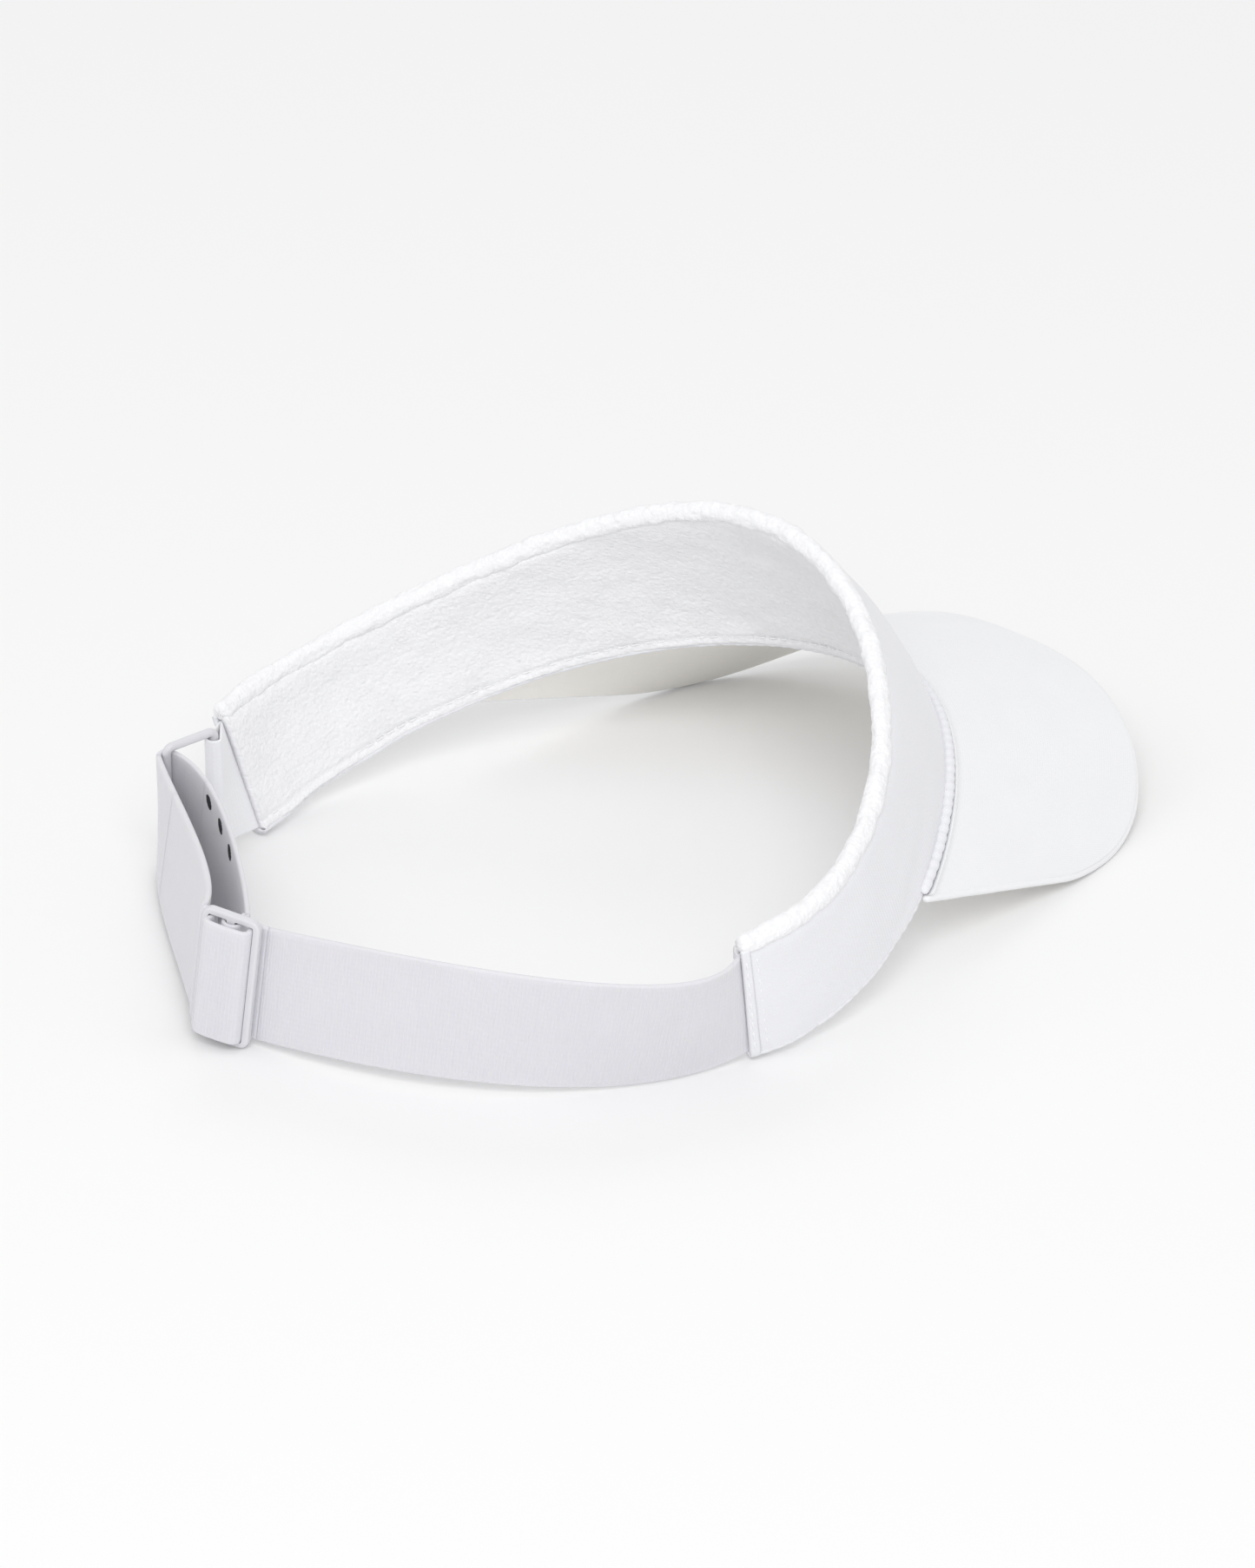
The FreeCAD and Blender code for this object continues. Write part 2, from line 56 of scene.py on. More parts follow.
FOOT_SWEEP = 104.5
FOOT_HALF_WIDTH = 77.5
FOOT_FLARE = 0.117
FOOT_DEPTH = (0.0, -100.5, 0.5, -3.5)
FOOT_HEIGHT = (12.0, 17.7, 6.1, -1.0, -1.3)
HEAD_SWEEP = 102.8
HEAD_HALF_WIDTH = 87.6
HEAD_FLARE = 0.034
HEAD_DEPTH = (13.5, -80.8, -0.45, -0.85)
HEAD_HEIGHT = (45.3, 25.6, 7.7, 3.2, -0.3)
PANEL_SWELL = 2.4
SHELL = (1.32, 2.00)
POCKET = (-0.14, 1.26)
TERRY = (-2.10, -0.36)
LAYER_LOW = 1.70
LAYER_TOP_GAP = 2.55
BINDING_HALF = 2.10
BINDING_HEIGHT = 1.60
ROLL_RADIUS = 2.40
END_HEM = 0.0145
HEM_CLEARANCE = 0.0006
HEM_FOLD = 0.35
INTERLINING_END = 0.925
THREAD_RADIUS = 0.22
STITCH_PITCH = 3.2
STITCH_LENGTH = 2.3
HEM_ROW_HEIGHT = 4.1
END_ROWS = ((0.006, SHELL[1] + HEM_FOLD), (0.026, SHELL[1]))

BRIM_SWEEP = 64.0
BRIM_GAP = 2.35
RIM_HALF_WIDTH = 76.9
RIM_BACK = -41.5
RIM_LENGTH = 116.3
RIM_X_POWER = 0.759
RIM_Y_POWER = 0.561
RIM_HEIGHT = (46.2, -56.6, 32.8)
RIM_SIDE_ANGLE = 75.0
RIM_SPACING = 1.55
RIM_RADIUS = 1.25
PLY = 0.50
BRIM_CORE = 1.50
PLY_GAP = 0.04

STRAP_WIDTH = 31.0
STRAP_THICKNESS = 1.30
FOLD_UNDER = -2.35
FOLD_LINE = (
    (-7.0, FOLD_UNDER), (-6.2, -2.33), (-5.35, -1.9), (-5.0, -0.5), (-5.1, 1.1), (-5.2, 2.0),
    (-4.55, 3.0), (-2.7, 3.4), (0.0, 3.45), (2.9, 3.4),
    (4.9, 3.0), (5.6, 2.1), (5.25, 1.1), (5.0, -0.5), (5.35, -1.9), (6.2, -2.33), (7.0, FOLD_UNDER),
)
LAYER_SPLIT = 0.72
OUTER_LEAVES = (-123.0, -156.0)
INNER_LEAVES = (-24.0, -27.0)
BAR_CLEARANCE = 0.20
POCKET_REACH = 0.055
POCKET_CLIMB = 1.9
NEAR_END = -1.1
FOLD_END = 0.45
OUTER_START = 1.3
INNER_START = (-1.2, -5.4)
MARK_PLACES = (0.40, 0.53, 0.66)
MARK_WIDTH = 0.024
MARK_SLANT = 0.014
MARK_CLIMB = 26.4
MARK_HEIGHT = 2.6
SLIDER_CENTRE = (7.0, 103.8, 18.4)
SLIDER_TURN = (20.0, 8.0, -2.0)
SLIDER_WIDTH = 15.0
SLIDER_THICKNESS = 2.2
SLIDER_MID_BAR = 2.0
END_LOOP_TAPE = 1.0
END_LOOP_GAP = 0.1
END_TAIL_GAP = 0.9
RING_CENTRE = (83.2, 44.9, 18.6)
RING_TURN = (79.0, -5.7, -8.5)
RING_BAR_X = 6.65
RING_BAR_RADIUS = 1.1
TAB_TAPE = 0.65
TAB_CLEARANCE = 0.60
TAB_TURN = 110.0
TAB_PLY_GAP = 0.02

# Only in the visual model. The free lower edge of the band wanders in and out, and the cloth reaches
# under the roll on top and the binding below.
EDGE_SWAY = 0.85
SWAY_START = 0.62
BAND_HALF_LENGTH = 170.0
CLOTH_LOW = 1.15
CLOTH_TOP_GAP = 0.60

# The brim's cloth bends down over the board's two sides, as shares of the brim's spread, and stops just
# short of the rim. The roll round the rim and the piped seam cover its edges.
CLOTH_SPREAD = 0.996
SIDE_DROP = 0.38
SIDE_DROP_REACH = 0.013
EDGE_REACH = 0.25
BRIM_HALF_LENGTH = 90.0
WELT_CENTRE = (2.35, SHELL[1] + 0.7)
WELT_RADIUS = 1.35
SIDE_ROLL_START = -0.004
SIDE_ROLL_END = 0.97

# The strap: crosswise ribs, firm selvedges, a fold that reaches under the layers next to it, and ends
# that lie calm where the next stretch begins.
RIB_PITCH = 0.85
RIB_HEIGHT = 0.055
SELVEDGE = 1.3
CALM_END = 12.0
FOLD_OVERLAP = 0.75
STRAP_ROW = RIB_PITCH / 4

FULL_TURN = 2 * math.pi

# ---------------------------------------------------------------- curves shared with the CAD part


def unit(v):
    return v / np.linalg.norm(v, axis=-1, keepdims=True)


def harmonics(terms, angle):
    return sum(term * np.cos(order * angle) for order, term in enumerate(terms))


def crown_foot(u):
    angle = np.radians(FOOT_SWEEP * u)
    s = np.sin(angle)
    x = FOOT_HALF_WIDTH * s * (1 + FOOT_FLARE * s * s)
    return np.stack([x, harmonics(FOOT_DEPTH, angle), harmonics(FOOT_HEIGHT, angle)], -1)


def crown_head(u):
    angle = np.radians(HEAD_SWEEP * u)
    s = np.sin(angle)
    x = HEAD_HALF_WIDTH * s * (1 + HEAD_FLARE * s**4)
    return np.stack([x, harmonics(HEAD_DEPTH, angle), harmonics(HEAD_HEIGHT, angle)], -1)


def panel_frame(u):
    """Foot point, direction up the wall, wall height and outward normal at u, from -1 to 1."""
    step = 0.002
    foot = crown_foot(u)
    rise = crown_head(u) - foot
    height = np.linalg.norm(rise, axis=-1, keepdims=True)
    ahead = crown_foot(u + step) + crown_head(u + step) - crown_foot(u - step) - crown_head(u - step)
    rise = rise / height
    return foot, rise, height, unit(np.cross(ahead, rise))


def panel_point(u, climb, depth):
    """Points of the wall: u along it, climb up from its foot, depth outward. Arrays broadcast."""
    u, climb, depth = np.broadcast_arrays(u, climb, depth)
    foot, rise, height, out = panel_frame(u)
    v = climb[..., None] / height
    swell = PANEL_SWELL * 4 * v * (1 - v) * np.cos(math.pi / 2 * u)[..., None] ** 2
    free = smooth_step((np.abs(u) - SWAY_START) / 0.1)
    sway = free * EDGE_SWAY * value_noise(BAND_HALF_LENGTH * u / 10, 0 * u, 17)
    swell = swell + sway[..., None] * (1 - v) ** 2
    return foot + rise * climb[..., None] + out * (depth[..., None] + swell)


def rim(angle):
    a = np.radians(angle)
    x = np.sign(angle) * RIM_HALF_WIDTH * np.abs(np.sin(a)) ** RIM_X_POWER
    y = RIM_BACK - RIM_LENGTH * np.maximum(np.cos(a), 0.0) ** RIM_Y_POWER
    return np.stack([x, y, harmonics(RIM_HEIGHT, a)], -1)


def brim_base(s, w):
    s, w = np.broadcast_arrays(np.asarray(s, float), np.asarray(w, float))
    foot, _, _, out = panel_frame(BRIM_SWEEP / FOOT_SWEEP * s)
    start = foot + out * BRIM_GAP
    end = rim(RIM_SIDE_ANGLE * np.sign(s) * np.abs(s) ** RIM_SPACING)
    return start + (end - start) * w[..., None]


def brim_up(s):
    step = 0.004
    along = brim_base(s + step, 0.5) - brim_base(s - step, 0.5)
    return unit(np.cross(brim_base(s, 1.0) - brim_base(s, 0.0), along))


def rotation(turn):
    """Columns are a buckle's own axes: along the strap, outward, up."""
    yaw, skew, lean = (math.radians(a) for a in turn)
    rz = np.array([[math.cos(yaw), -math.sin(yaw), 0], [math.sin(yaw), math.cos(yaw), 0], [0, 0, 1]])
    c, s = math.cos(lean), math.sin(lean)
    rx = np.array([[1, 0, 0], [0, c, -s], [0, s, c]])
    c, s = math.cos(-skew), math.sin(-skew)
    ry = np.array([[c, 0, s], [0, 1, 0], [-s, 0, c]])
    return rz @ rx @ ry


SLIDER = (np.array(SLIDER_CENTRE), rotation(SLIDER_TURN))
RING = (np.array(RING_CENTRE), rotation(RING_TURN))


def local(place, x, y, z):
    centre, axes = place
    x, y, z = np.broadcast_arrays(np.asarray(x, float), np.asarray(y, float), np.asarray(z, float))
    return centre + np.stack([x, y, z], -1) @ axes.T


def rung(place, x, y):
    half = STRAP_WIDTH / 2
    return local(place, x, y, -half), local(place, x, y, half)


def bezier(points, t):
    a, b, c, d = (np.asarray(p, float) for p in points)
    t = np.asarray(t, float)[..., None]
    r = 1 - t
    return a * r**3 + b * 3 * r * r * t + c * 3 * r * t * t + d * t**3


def pocket_rung(u):
    depth = (TERRY[1] + SHELL[0]) / 2
    return panel_point(u, POCKET_CLIMB, depth), panel_point(u, POCKET_CLIMB + STRAP_WIDTH, depth)


def near_lines():
    start = pocket_rung(-1.0)
    finish = rung(SLIDER, -SLIDER_WIDTH / 2 + NEAR_END, FOLD_UNDER)
    low = [start[0], (-79.0, 46.0, -4.0), (-64.0, 91.0, 8.0), finish[0]]
    high = [start[1], (-98.0, 48.0, 26.0), (-65.0, 92.0, 41.0), finish[1]]
    return low, high


LOOP_RADIUS = RING_BAR_RADIUS + BAR_CLEARANCE + STRAP_THICKNESS / 2


def round_rear_bar(leaves, share):
    """Tape on the ring's rear bar: share of the way from the window's middle to where it leaves."""
    points = []
    for degrees, z in zip(leaves, (-STRAP_WIDTH / 2, STRAP_WIDTH / 2)):
        a = np.radians(degrees * np.asarray(share, float))
        points.append(local(RING, RING_BAR_X - LOOP_RADIUS * np.cos(a), LOOP_RADIUS * np.sin(a), z))
    return points


def outer_lines():
    start = rung(SLIDER, SLIDER_WIDTH / 2 + OUTER_START, FOLD_UNDER)
    finish = round_rear_bar(OUTER_LEAVES, 1.0)
    low = [start[0], (21.0, 99.0, 1.6), (80.5, 64.0, 1.6), finish[0]]
    high = [start[1], (20.0, 91.0, 34.5), (69.0, 65.0, 33.0), finish[1]]
    return low, high


def inner_lines():
    start = rung(SLIDER, *INNER_START)
    finish = round_rear_bar(INNER_LEAVES, 1.0)
    low = [start[0], (25.5, 86.5, 1.9), (69.0, 54.5, 1.9), finish[0]]
    high = [start[1], (22.0, 83.5, 33.5), (66.0, 50.5, 34.5), finish[1]]
    return low, high


# ---------------------------------------------------------------- mesh helpers

CLOTH_UV = "cloth"
LATTICE = 512


def smooth_step(x):
    x = np.clip(x, 0.0, 1.0)
    return x * x * (3 - 2 * x)


def value_noise(x, y, seed):
    """Smooth noise from -1 to 1 on a lattice of whole numbers."""
    lattice = np.random.default_rng(seed).uniform(-1, 1, (LATTICE, LATTICE))
    xi, yi = np.floor(x).astype(int), np.floor(y).astype(int)
    fx, fy = smooth_step(x - xi), smooth_step(y - yi)
    x0, x1, y0, y1 = xi % LATTICE, (xi + 1) % LATTICE, yi % LATTICE, (yi + 1) % LATTICE
    a, b, c, d = lattice[x0, y0], lattice[x1, y0], lattice[x0, y1], lattice[x1, y1]
    return (a * (1 - fx) + b * fx) * (1 - fy) + (c * (1 - fx) + d * fx) * fy


def loops_relief(x, y, seed):
    """Towelling: rounded tufts on a jittered lattice of whole numbers, from 0 to 1."""
    jitter = np.random.default_rng(seed).uniform(0.12, 0.88, (LATTICE, LATTICE, 3))
    xi, yi = np.floor(x).astype(int), np.floor(y).astype(int)
    best = np.zeros_like(x)
    for dx in (-1, 0, 1):
        for dy in (-1, 0, 1):
            cell = jitter[(xi + dx) % LATTICE, (yi + dy) % LATTICE]
            away = (x - xi - dx - cell[..., 0]) ** 2 + (y - yi - dy - cell[..., 1]) ** 2
            tuft = np.sqrt(np.clip(1 - away / 0.62, 0, 1)) * (0.6 + 0.4 * cell[..., 2])
            best = np.maximum(best, tuft)
    return best


def new_object(name, verts, faces, uvs):
    """verts in mm in the working frame; uvs one pair per vertex, in metres of cloth."""
    points = (np.asarray(verts, float).reshape(-1, 3) + FRAME_SHIFT) * MM
    mesh = bpy.data.meshes.new(name)
    mesh.from_pydata(points.tolist(), [], [list(map(int, f)) for f in faces])
    flat = np.asarray(uvs, float).reshape(-1, 2)
    index = np.empty(len(mesh.loops), int)
    mesh.loops.foreach_get("vertex_index", index)
    layer = mesh.uv_layers.new(name=CLOTH_UV)
    layer.data.foreach_set("uv", flat[index].astype(np.float32).ravel())
    mesh.validate()
    mesh.polygons.foreach_set("use_smooth", [True] * len(mesh.polygons))
    mesh.update()
    obj = bpy.data.objects.new(name, mesh)
    bpy.context.scene.collection.objects.link(obj)
    return obj


def strip_faces(rows, ring):
    """Quads of a closed ring swept along rows, with both ends closed."""
    i, j = np.meshgrid(np.arange(rows - 1), np.arange(ring), indexing="ij")
    here, beside = i * ring + j, i * ring + (j + 1) % ring
    faces = np.stack([here, beside, beside + ring, here + ring], -1).reshape(-1, 4).tolist()
    for base, flip in ((0, True), ((rows - 1) * ring, False)):
        for a in range(ring // 2 - 1):
            quad = [base + a, base + a + 1, base + ring - 2 - a, base + ring - 1 - a]
            faces.append(quad[::-1] if flip else quad)
    return faces


def profile(inner, outer, width, count, rounds=3):
    """Outline across a flat layer, as (across, out) rows: up the outer face, then down the inner
    face, rounded at both edges. The width is one number, or one for each row as a column."""
    half, middle = (outer - inner) / 2, (outer + inner) / 2
    turn = np.linspace(-1.25, 0.0, rounds + 1)[:-1]
    width = np.atleast_2d(np.asarray(width, float))
    ends = np.broadcast_to(half + half * np.sin(turn), (len(width), rounds))
    body = half + (width - 2 * half) * np.linspace(0, 1, count)
    across = np.concatenate([ends, body, width - ends[:, ::-1]], 1)
    out = np.concatenate([half * np.cos(turn), np.full(count, half), half * np.cos(turn)[::-1]])
    out = np.broadcast_to(out, across.shape)
    return np.hstack([across, across[:, ::-1]]), np.hstack([middle + out, middle - out[:, ::-1]])


def turned_outward(obj):
    if volume(obj.data) < 0:
        obj.data.flip_normals()
    return obj


def swept(name, points, uvs):
    """A closed skin over rows of rings, with its faces turned outward."""
    rows, ring = points.shape[:2]
    return turned_outward(new_object(name, points, strip_faces(rows, ring), uvs))


def volume(mesh):
    mesh.calc_loop_triangles()
    count = len(mesh.loop_triangles)
    tris = np.empty(count * 3, int)
    mesh.loop_triangles.foreach_get("vertices", tris)
    co = np.empty(len(mesh.vertices) * 3)
    mesh.vertices.foreach_get("co", co)
    t = co.reshape(-1, 3)[tris.reshape(-1, 3)]
    return float(np.einsum("ij,ij->i", t[:, 0], np.cross(t[:, 1], t[:, 2])).sum() / 6)


def arc_length(points):
    steps = np.linalg.norm(np.diff(points, axis=0), axis=1)
    return np.concatenate([[0.0], np.cumsum(steps)])


def even(points, spacing):
    """Rows of points at even steps along their own middle line. The first axis is along the line."""
    flat = points.reshape(len(points), -1)
    middle = points.reshape(len(points), -1, 3).mean(1)
    length = arc_length(middle)
    steps = np.linspace(0, length[-1], max(int(length[-1] / spacing) + 1, 3))
    resampled = np.stack([np.interp(steps, length, column) for column in flat.T], 1)
    return resampled.reshape((-1,) + points.shape[1:])


def through(points, per_span=12):
    """A smooth line through rows of points: cubic spans with the tangents of their neighbours."""
    points = np.asarray(points, float)
    middle = points.reshape(len(points), -1, 3).mean(1)
    knots = arc_length(middle)
    slopes = np.empty_like(points)
    wide = (knots[2:] - knots[:-2]).reshape((-1,) + (1,) * (points.ndim - 1))
    slopes[1:-1] = (points[2:] - points[:-2]) / wide
    slopes[0] = (points[1] - points[0]) / (knots[1] - knots[0])
    slopes[-1] = (points[-1] - points[-2]) / (knots[-1] - knots[-2])
    rows = []
    for k in range(len(points) - 1):
        span = knots[k + 1] - knots[k]
        for t in np.arange(per_span) / per_span:
            rows.append(
                (2 * t**3 - 3 * t * t + 1) * points[k] + (t**3 - 2 * t * t + t) * span * slopes[k]
                + (3 * t * t - 2 * t**3) * points[k + 1] + (t**3 - t * t) * span * slopes[k + 1]
            )
    rows.append(points[-1])
    return np.array(rows)


# ---------------------------------------------------------------- materials


class Shader:
    """A procedural material: one Principled shader, with small helpers for its colour and relief."""

    def __init__(self, name, color, roughness, sheen=0.0, specular=0.35):
        self.material = bpy.data.materials.new(name)
        self.material.use_nodes = True
        self.tree = self.material.node_tree
        self.principled = self.tree.nodes["Principled BSDF"]
        self.principled.inputs["Roughness"].default_value = roughness
        self.principled.inputs["Specular IOR Level"].default_value = specular
        self.principled.inputs["Sheen Weight"].default_value = sheen
        self.principled.inputs["Sheen Roughness"].default_value = 0.45
        self.principled.inputs["Base Color"].default_value = (*color, 1.0)
        self.color = color

    def node(self, kind, **inputs):
        node = self.tree.nodes.new(kind)
        for key, value in inputs.items():
            node.inputs[key.replace("_", " ")].default_value = value
        return node

    def link(self, output, target):
        self.tree.links.new(output, target)

    def place(self, own=False):
        """Coordinates in metres: along and across the cloth, or the object's own."""
        if own:
            return self.tree.nodes.new("ShaderNodeTexCoord").outputs["Object"]
        uv = self.tree.nodes.new("ShaderNodeUVMap")
        uv.uv_map = CLOTH_UV
        return uv.outputs["UV"]

    def math(self, operation, a, b):
        node = self.tree.nodes.new("ShaderNodeMath")
        node.operation = operation
        for value, socket in ((a, node.inputs[0]), (b, node.inputs[1])):
            if isinstance(value, (int, float)):
                socket.default_value = value
            else:
                self.link(value, socket)
        return node.outputs[0]

    def noise(self, vector, scale, detail=3.0):
        node = self.node("ShaderNodeTexNoise", Scale=scale, Detail=detail)
        self.link(vector, node.inputs["Vector"])
        return node.outputs["Fac"]

    def threads(self, vector, axis, count):
        """Parallel threads across an axis, each a rounded ridge."""
        node = self.node("ShaderNodeTexWave", Scale=count / FULL_TURN, Distortion=0.6, Detail=1.0)
        node.inputs["Detail Scale"].default_value = 0.6
        node.bands_direction = axis
        node.wave_profile = "SIN"
        self.link(vector, node.inputs["Vector"])
        return node.outputs["Fac"]

    def tint(self, factor, spread_by):
        """Colour from a little darker to a little lighter, as the factor goes from 0 to 1."""
        ramp = self.tree.nodes.new("ShaderNodeValToRGB")
        ramp.color_ramp.elements[0].position, ramp.color_ramp.elements[1].position = 0.25, 0.75
        for element, sign in zip(ramp.color_ramp.elements, (-1, 1)):
            element.color = (*[min(1.0, c * (1 + sign * spread_by)) for c in self.color], 1.0)
        self.link(factor, ramp.inputs["Fac"])
        self.link(ramp.outputs["Color"], self.principled.inputs["Base Color"])

    def rough(self, factor, low, high):
        node = self.tree.nodes.new("ShaderNodeMapRange")
        node.inputs["To Min"].default_value, node.inputs["To Max"].default_value = low, high
        self.link(factor, node.inputs["Value"])
        self.link(node.outputs["Result"], self.principled.inputs["Roughness"])

    def relief(self, height, distance, strength=1.0):
        bump = self.node("ShaderNodeBump", Strength=strength, Distance=distance)
        self.link(height, bump.inputs["Height"])
        self.link(bump.outputs["Normal"], self.principled.inputs["Normal"])


def microfibre(name, color, count=2100.0):
    """Smooth plain weave: two sets of fine threads and a faint cloudiness."""
    s = Shader(name, color, 0.78, sheen=0.25)
    fine = s.place()
    weave = s.math("MULTIPLY", s.threads(fine, "X", count), s.threads(fine, "Y", count))
    cloud = s.noise(fine, 60.0)
    s.tint(s.math("ADD", s.math("MULTIPLY", cloud, 0.75), s.math("MULTIPLY", weave, 0.25)), 0.014)
    s.rough(cloud, 0.72, 0.86)
    s.relief(s.math("ADD", weave, s.math("MULTIPLY", s.noise(fine, 900.0), 0.6)), 0.00006, 0.55)
    return s.material


def towelling(name, color):
    """Looped pile: small round tufts with hollows between them."""
    s = Shader(name, color, 0.95, sheen=0.2, specular=0.15)
    fine = s.place()
    tufts = s.node("ShaderNodeTexVoronoi", Scale=1050.0, Randomness=0.9)
    tufts.feature = "SMOOTH_F1"
    tufts.inputs["Smoothness"].default_value = 0.4
    s.link(fine, tufts.inputs["Vector"])
    height = s.math("SUBTRACT", 1.0, tufts.outputs["Distance"])
    curl = s.noise(fine, 1900.0, 4.0)
    worn = s.math("MULTIPLY", s.noise(fine, 45.0), 0.4)
    # The tint paints the tuft tops lighter and the hollows between them darker: painted shade in the
    # hollows, with a random worn tone over it.
    s.tint(s.math("ADD", s.math("MULTIPLY", height, 0.6), worn), 0.018)
    s.rough(curl, 0.88, 1.0)
    s.relief(s.math("ADD", height, s.math("MULTIPLY", curl, 0.5)), 0.00028, 0.8)
    return s.material


def knit_elastic(name, color):
    """Ribbed elastic: fine columns of stitches along the strap, over its woven crosswise ribs."""
    s = Shader(name, color, 0.70, sheen=0.3)
    s.principled.inputs["Subsurface Weight"].default_value = 0.45
    s.principled.inputs["Subsurface Radius"].default_value = (1.0, 1.0, 0.8)
    s.principled.inputs["Subsurface Scale"].default_value = 0.002
    fine = s.place()
    columns = s.threads(fine, "Y", 1500.0)
    rows = s.threads(fine, "X", 4200.0)
    knit = s.math("MULTIPLY", columns, rows)
    cloud = s.noise(fine, 90.0)
    s.tint(s.math("ADD", s.math("MULTIPLY", cloud, 0.6), s.math("MULTIPLY", knit, 0.4)), 0.016)
    s.rough(knit, 0.64, 0.80)
    s.relief(s.math("ADD", knit, s.math("MULTIPLY", s.noise(fine, 2500.0), 0.4)), 0.00005, 0.6)
    return s.material


def sewing_thread(name, color):
    """Twisted two-ply thread."""
    s = Shader(name, color, 0.5, sheen=0.2, specular=0.5)
    twist = s.place()
    node = s.node("ShaderNodeTexWave", Scale=420.0, Distortion=0.3)
    node.bands_direction = "DIAGONAL"
    s.link(twist, node.inputs["Vector"])
    s.tint(node.outputs["Fac"], 0.02)
    s.rough(node.outputs["Fac"], 0.42, 0.6)
    s.relief(node.outputs["Fac"], 0.00006, 0.7)
    return s.material


def moulded(name, color, roughness):
    """Satin moulded plastic: a fine spark-eroded texture and faint flow marks."""
    s = Shader(name, color, roughness, specular=0.5)
    own = s.place(own=True)
    grain = s.noise(own, 3800.0, 2.0)
    flow = s.noise(own, 110.0, 2.0)
    s.tint(flow, 0.012)
    s.rough(flow, roughness - 0.05, roughness + 0.07)
    s.relief(grain, 0.00002, 0.35)
    return s.material


def ink(name, color):
    """Printed ink that lets a little of the cloth's texture through."""
    s = Shader(name, color, 0.6, specular=0.4)
    own = s.place(own=True)
    grain = s.noise(own, 1500.0, 3.0)
    s.tint(grain, 0.35)
    s.rough(grain, 0.5, 0.75)
    s.relief(grain, 0.00004, 0.5)
    return s.material


MATERIALS = {
    "crown_fabric": microfibre("crown_fabric", (0.835, 0.838, 0.866)),
    "interlining": microfibre("interlining", (0.86, 0.86, 0.87), 1300.0),
    "terry": towelling("terry", (0.915, 0.915, 0.93)),
    "thread": sewing_thread("thread", (0.90, 0.90, 0.92)),
    "brim_board": moulded("brim_board", (0.86, 0.86, 0.86), 0.5),
    "brim_fabric": microfibre("brim_fabric", (0.885, 0.89, 0.905), 2300.0),
    "brim_lining": microfibre("brim_lining", (0.94, 0.92, 0.875), 1700.0),
    "elastic": knit_elastic("elastic", (0.705, 0.70, 0.741)),
    "buckle_plastic": moulded("buckle_plastic", (0.70, 0.70, 0.73), 0.38),
    "tab_tape": microfibre("tab_tape", (0.89, 0.895, 0.915), 1500.0),
    "printed_mark": ink("printed_mark", (0.015, 0.015, 0.018)),
}


def dress(obj, slot, body, node):
    """Gives a new piece its material and slot, sets it on its body and hides what it stands for."""
    obj.data.materials.append(MATERIALS[slot])
    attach(obj, body)
    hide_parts(node)
    return obj


def dress_between(obj, slot, node):
    """For a piece that runs from the crown to another body: gives it its material, bakes its placement
    into its mesh and hides what it stands for. It is set on no body.
    """
    obj.data.materials.append(MATERIALS[slot])
    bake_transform(obj)
    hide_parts(node)


# ---------------------------------------------------------------- crown band


def band_piece(name, depths, u_range, spacing, relief, count):
    """One layer of the band as a closed skin. relief(u, climb, height, share, face) adds to how far
    out each point lies: share is how far up the layer it is, from 0 to 1, and face is 1 on the outer
    side and -1 on the inner one."""
    rough = crown_foot(np.linspace(*u_range, 200)) + crown_head(np.linspace(*u_range, 200))
    length = arc_length(rough / 2)
    rows = max(int(length[-1] / spacing), 4)
    u = np.linspace(*u_range, rows)[:, None]
    height = panel_frame(u[:, 0])[2]
    width = height - CLOTH_TOP_GAP - CLOTH_LOW
    across, out = profile(*depths, width, count)
    climb = across + CLOTH_LOW
    face = np.where(np.arange(across.shape[1]) < across.shape[1] // 2, 1.0, -1.0)[None, :]
    share = across / width
    depth = out + relief(u, climb, height, share, face)
    points = panel_point(u, climb, depth)
    along = np.interp(u, np.linspace(*u_range, 200), length)
    uvs = np.stack([np.broadcast_to(along, climb.shape), climb], -1) * MM
    return swept(name, points, uvs)


def edge_fade(share, reach):
    """0 at both edges of a layer and 1 further in than reach, as a share of its width."""
    return smooth_step(np.minimum(share, 1 - share) / reach)


def crown_along(u):
    return BAND_HALF_LENGTH * u


def shell_relief(u, climb, height, share, face):
    """Soft buckles, a few slanting drag lines by the brim seam, and puckers at both long seams."""
    x = crown_along(u)
    buckle = 0.32 * value_noise(x / 26 + 5, climb / 19, 11) + 0.12 * value_noise(x / 9, climb / 8, 12)
    beside_brim = np.exp(-(((np.abs(u) - 0.56) / 0.10) ** 2))
    drag = beside_brim * np.sin((climb * 1.25 + np.abs(x) * 0.55) / 2.9)
    pucker = np.sin(FULL_TURN * x / STITCH_PITCH + 2 * value_noise(x / 7, x * 0, 13))
    low_seam = np.exp(-(((climb - CLOTH_LOW) / 3.2) ** 2)) * pucker
    top = np.maximum(height - CLOTH_TOP_GAP - climb, 0)
    top_seam = 0.16 * np.exp(-((top / 3.0) ** 2)) * value_noise(x / 1.7, top / 4, 14)
    top_seam = top_seam * edge_fade(share, 0.02)
    under_roll = 0.5 * np.exp(-((top / 1.5) ** 2))
    lean = 0.30 * drag * smooth_step(1 - share / 0.75)
    return edge_fade(share, 0.12) * (buckle + lean) + 0.07 * low_seam - top_seam - under_roll


